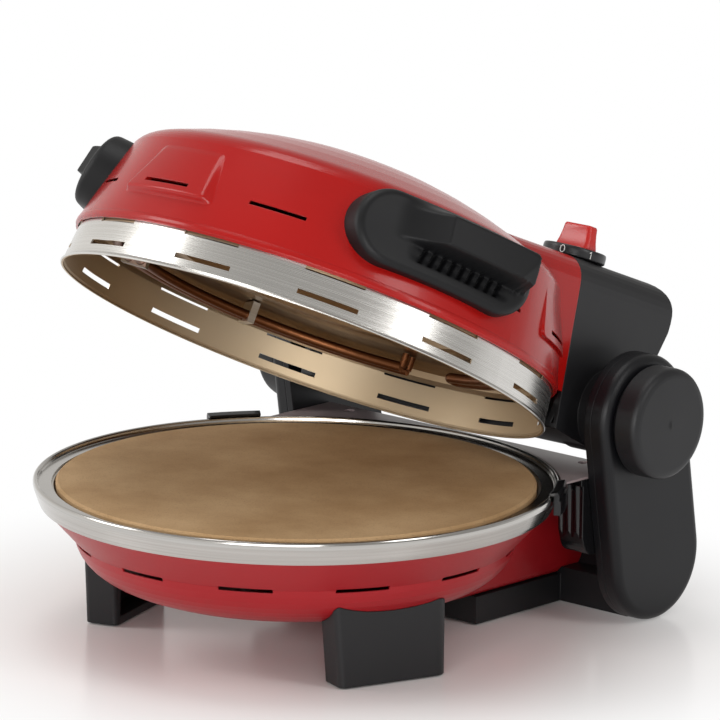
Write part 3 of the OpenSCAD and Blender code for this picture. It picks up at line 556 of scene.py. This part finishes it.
def by_dial(x, y, high):
    """A point beside the dial's axis and above its foot, in mm."""
    return on_lid(DIAL_FOOT[0] + x,
                  DIAL_FOOT[1] + y * math.cos(DIAL_LEAN) - high * math.sin(DIAL_LEAN),
                  DIAL_FOOT[2] + high * math.cos(DIAL_LEAN) + y * math.sin(DIAL_LEAN))


def on_dial(angle, high):
    """A point on the disc's rim: angle in degrees from the front, and height above its foot."""
    turn = math.radians(angle)
    return by_dial(DIAL_R * math.sin(turn), -DIAL_R * math.cos(turn), high)


def figure(name, points, closed):
    """A printed figure: a fine bead along a line of points on the rim."""
    held = bpy.data.curves.new(name, "CURVE")
    held.dimensions = "3D"
    held.bevel_depth = FIGURE_WIRE
    held.bevel_resolution = 3
    line = held.splines.new("POLY")
    line.points.add(len(points) - 1)
    for point, made in zip(points, line.points):
        made.co = (*point, 1)
    line.use_cyclic_u = closed
    held.materials.append(ink)
    made = bpy.data.objects.new(name, held)
    bpy.context.scene.collection.objects.link(made)
    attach(made, "dial")


dress(moulded("dial_abs", "#18181A", 0.34), "dial_disc")
ink, tree = material("white_ink")
place = node(tree, "TexCoord")
worn = node(tree, "TexNoise", {"Vector": place.outputs["Object"], "Scale": 2500, "Detail": 1})
tint = node(tree, "Mix", {"Factor": worn.outputs["Fac"], "A": srgb("#F4F4F0"),
                          "B": srgb("#DEDEDA")}, data_type="RGBA")
skin = node(tree, "BsdfPrincipled", {"Base Color": tint.outputs["Result"], "Roughness": 0.5})
node(tree, "OutputMaterial", {"Surface": skin})
turns = [i * math.tau / NOUGHT_POINTS for i in range(NOUGHT_POINTS)]
figure("figure_nought", [on_dial(NOUGHT_AT + NOUGHT_WIDE * math.cos(t),
                                 FIGURE_HIGH + NOUGHT_TALL * math.sin(t)) for t in turns], True)
figure("figure_one", [on_dial(ONE_AT + a, FIGURE_HIGH + h) for a, h in
                      ((-2.6, 1.2), (0.6, ONE_TALL), (0.6, -ONE_TALL))], False)

# The red grip: a block that narrows upwards, hollowed a little on both long sides, its four
# corners cut off. Each level is its height, half length and half width.
CORNER_LONG, CORNER_WIDE, KNOB_ROUND = 0.86, 0.6, 0.0007
knob = bmesh.new()
levels = []
for high, long, wide in ((7.5, 14.0, 6.6), (9.5, 13.9, 5.9), (13, 13.2, 5.0), (18, 12.2, 4.6),
                         (22.3, 11.4, 4.9), (23.4, 10.6, 4.3)):
    ring = []
    for x, y in ((long, wide), (-long, wide), (-long, -wide), (long, -wide)):
        pair = [(x, y * CORNER_WIDE), (x * CORNER_LONG, y)]
        ring += pair if x * y > 0 else pair[::-1]
    levels.append([knob.verts.new(by_dial(x, y, high)) for x, y in ring])
for lower, upper in zip(levels, levels[1:]):
    for i in range(8):
        knob.faces.new((lower[i], lower[(i + 1) % 8], upper[(i + 1) % 8], upper[i]))
knob.faces.new(levels[-1])
knob.faces.new(levels[0][::-1])
red_abs = moulded("red_abs", "#C41F18", 0.26, 600, 0.00002, 0.0016)
knob = piece_of(knob, "dial_knob", red_abs, 35, "dial")
rounding = knob.modifiers.new("rounding", "BEVEL")
rounding.width, rounding.segments, rounding.limit_method = KNOB_ROUND, 3, "ANGLE"
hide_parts("dial_grip")
